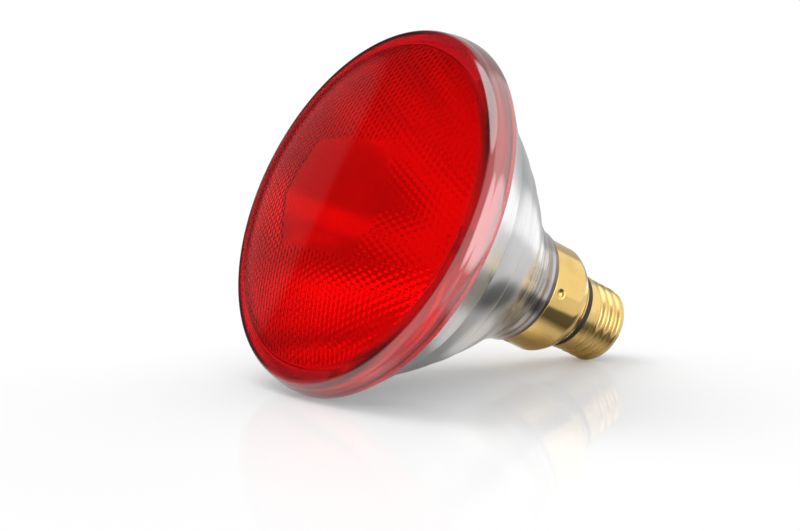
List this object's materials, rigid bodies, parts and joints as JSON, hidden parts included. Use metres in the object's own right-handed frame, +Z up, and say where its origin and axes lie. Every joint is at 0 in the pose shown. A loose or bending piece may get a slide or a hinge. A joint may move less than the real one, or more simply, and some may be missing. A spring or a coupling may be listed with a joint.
{
  "type": "infrared heat lamp bulb",
  "caption": "Reflector heat lamp: domed red glass lens fused to a stepped mirrored glass bowl, brass skirt and screw cap; radiates heat from a lampholder.",
  "frame": {"origin": "centre of the underside of the lamp's box, on the floor the lamp lies on", "axes": "+Z up; the lamp lies on the lens seam and the screw shell, its axis in the XZ plane with the lens towards -X and the contact towards +X"},
  "size_m": [0.1332, 0.122, 0.1121],
  "materials": {
    "red_glass": "gloss",
    "silvered_glass": "gloss",
    "brass": "polished",
    "thread_brass": "polished",
    "black_insulator": "satin",
    "dark_glass": "gloss",
    "contact_metal": "satin",
    "clear_glass": "gloss",
    "tungsten": "satin",
    "nickel_wire": "satin",
    "ferrule_metal": "satin"
  },
  "bodies": {
    "root": {"lens": "red_glass", "reflector": "silvered_glass", "skirt": "brass", "insulating_ring": "black_insulator", "screw_shell": "thread_brass", "cap_insulator": "dark_glass", "centre_contact": "contact_metal", "exhaust_tube": "clear_glass", "filament": "tungsten", "filament_bridge": "clear_glass", "lead_post_left": "nickel_wire", "lead_post_right": "nickel_wire", "filament_support_left": "nickel_wire", "filament_support_middle": "nickel_wire", "filament_support_right": "nickel_wire", "ferrule_left": "ferrule_metal", "ferrule_right": "ferrule_metal", "contact_wire": "nickel_wire", "shell_wire": "nickel_wire"}
  },
  "joints": []
}
